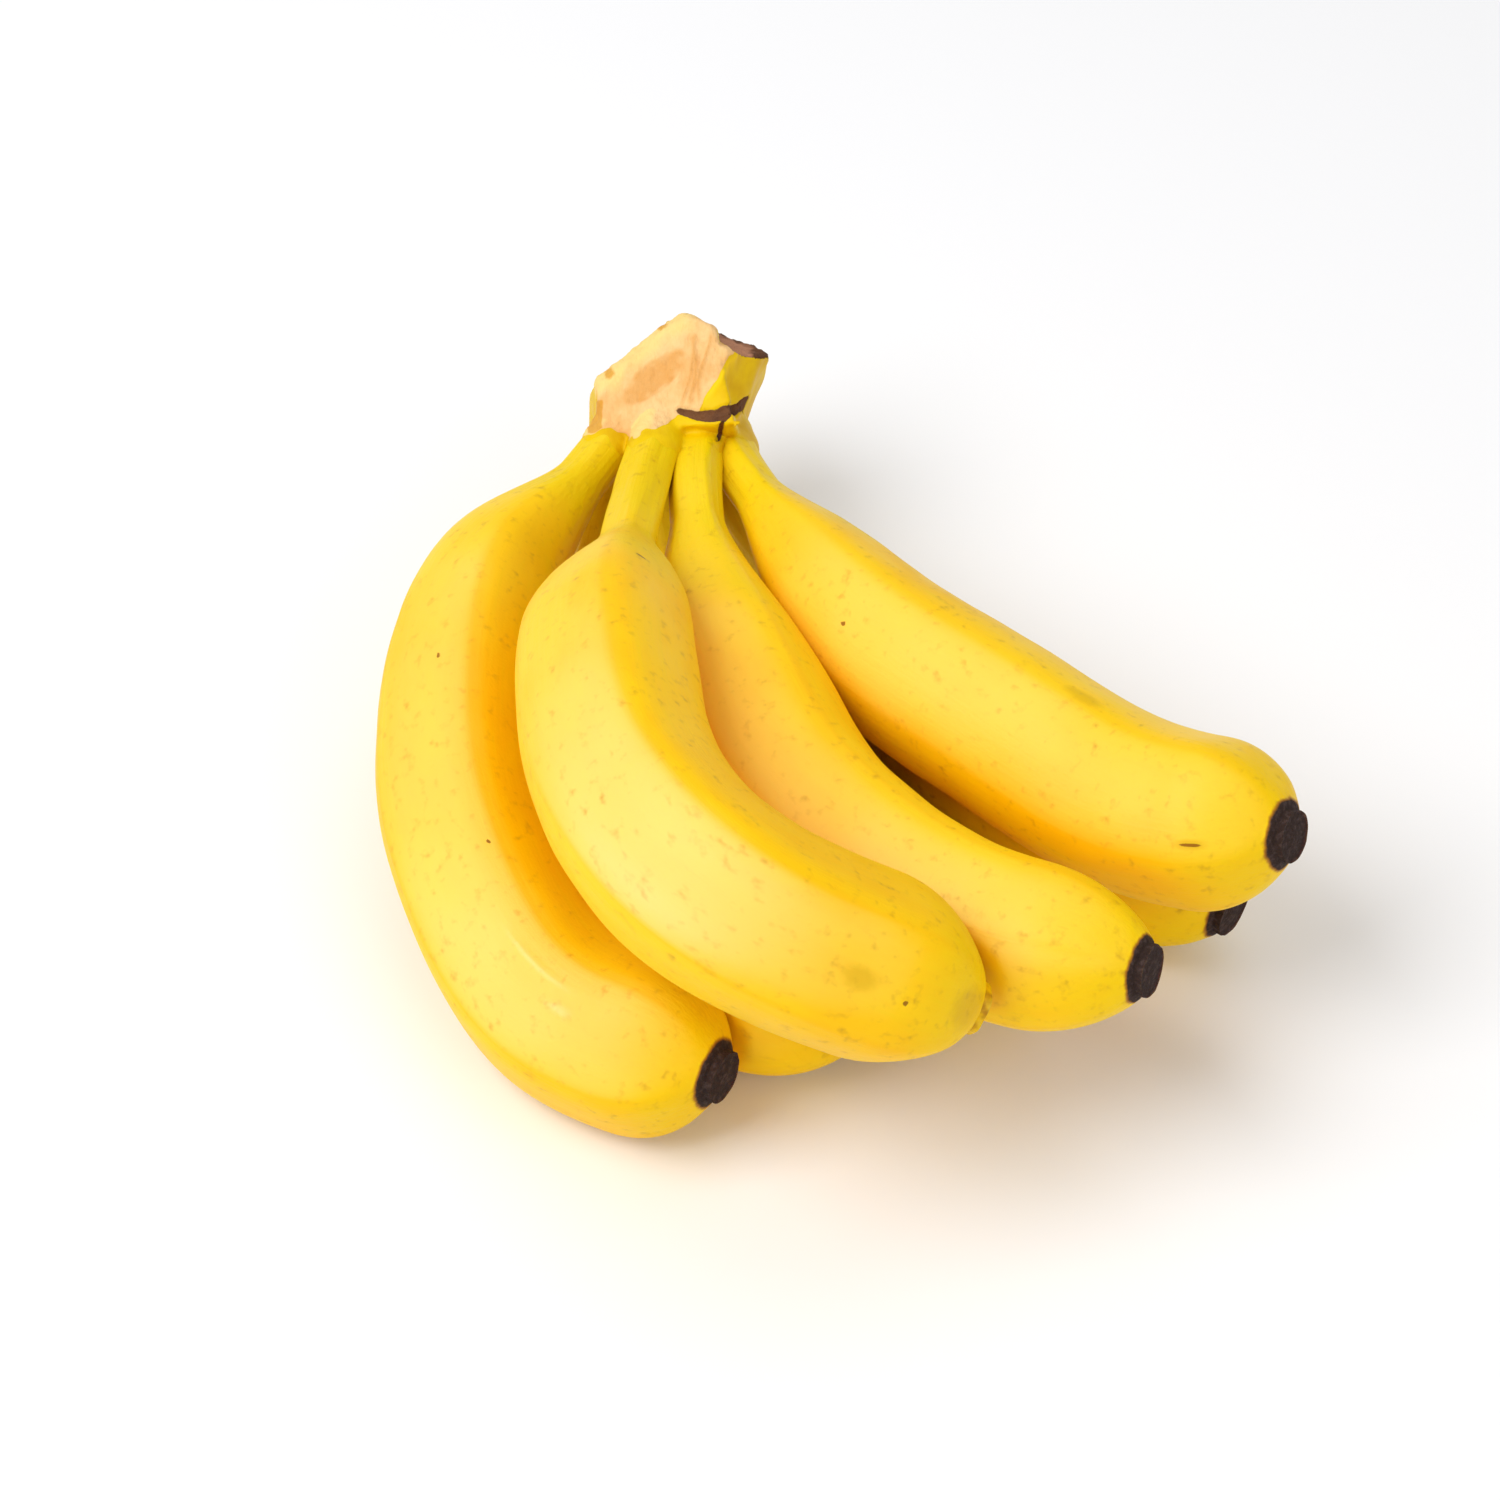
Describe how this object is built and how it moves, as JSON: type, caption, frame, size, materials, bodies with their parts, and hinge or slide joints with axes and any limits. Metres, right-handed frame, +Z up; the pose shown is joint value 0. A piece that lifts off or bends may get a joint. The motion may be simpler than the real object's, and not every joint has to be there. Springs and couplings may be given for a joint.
{
  "type": "bunch of bananas",
  "caption": "A hand of ripe yellow bananas lying on its side, its curved fingers joined at one woody crown; fresh fruit to rest on a table, shelf or tray.",
  "frame": {"origin": "on the surface that the bunch lies on, below the centre of its bounding box", "axes": "+Z up from the surface; +Y towards the crown, -Y towards the fruit tips; +X to the right, the way the tips curve"},
  "size_m": [0.1883, 0.2256, 0.0932],
  "materials": {
    "peel": "waxy satin banana peel, yellow, with fine freckles and dry black-brown tips",
    "crown": "dry matte cut crown, pale tan, with brown cut edges"
  },
  "bodies": {
    "root": {"banana_top": "peel", "banana_left": "peel", "banana_middle": "peel", "banana_right": "peel", "banana_lower_left": "peel", "banana_lower_middle": "peel", "banana_lower_right": "peel", "crown": "crown"}
  },
  "joints": []
}
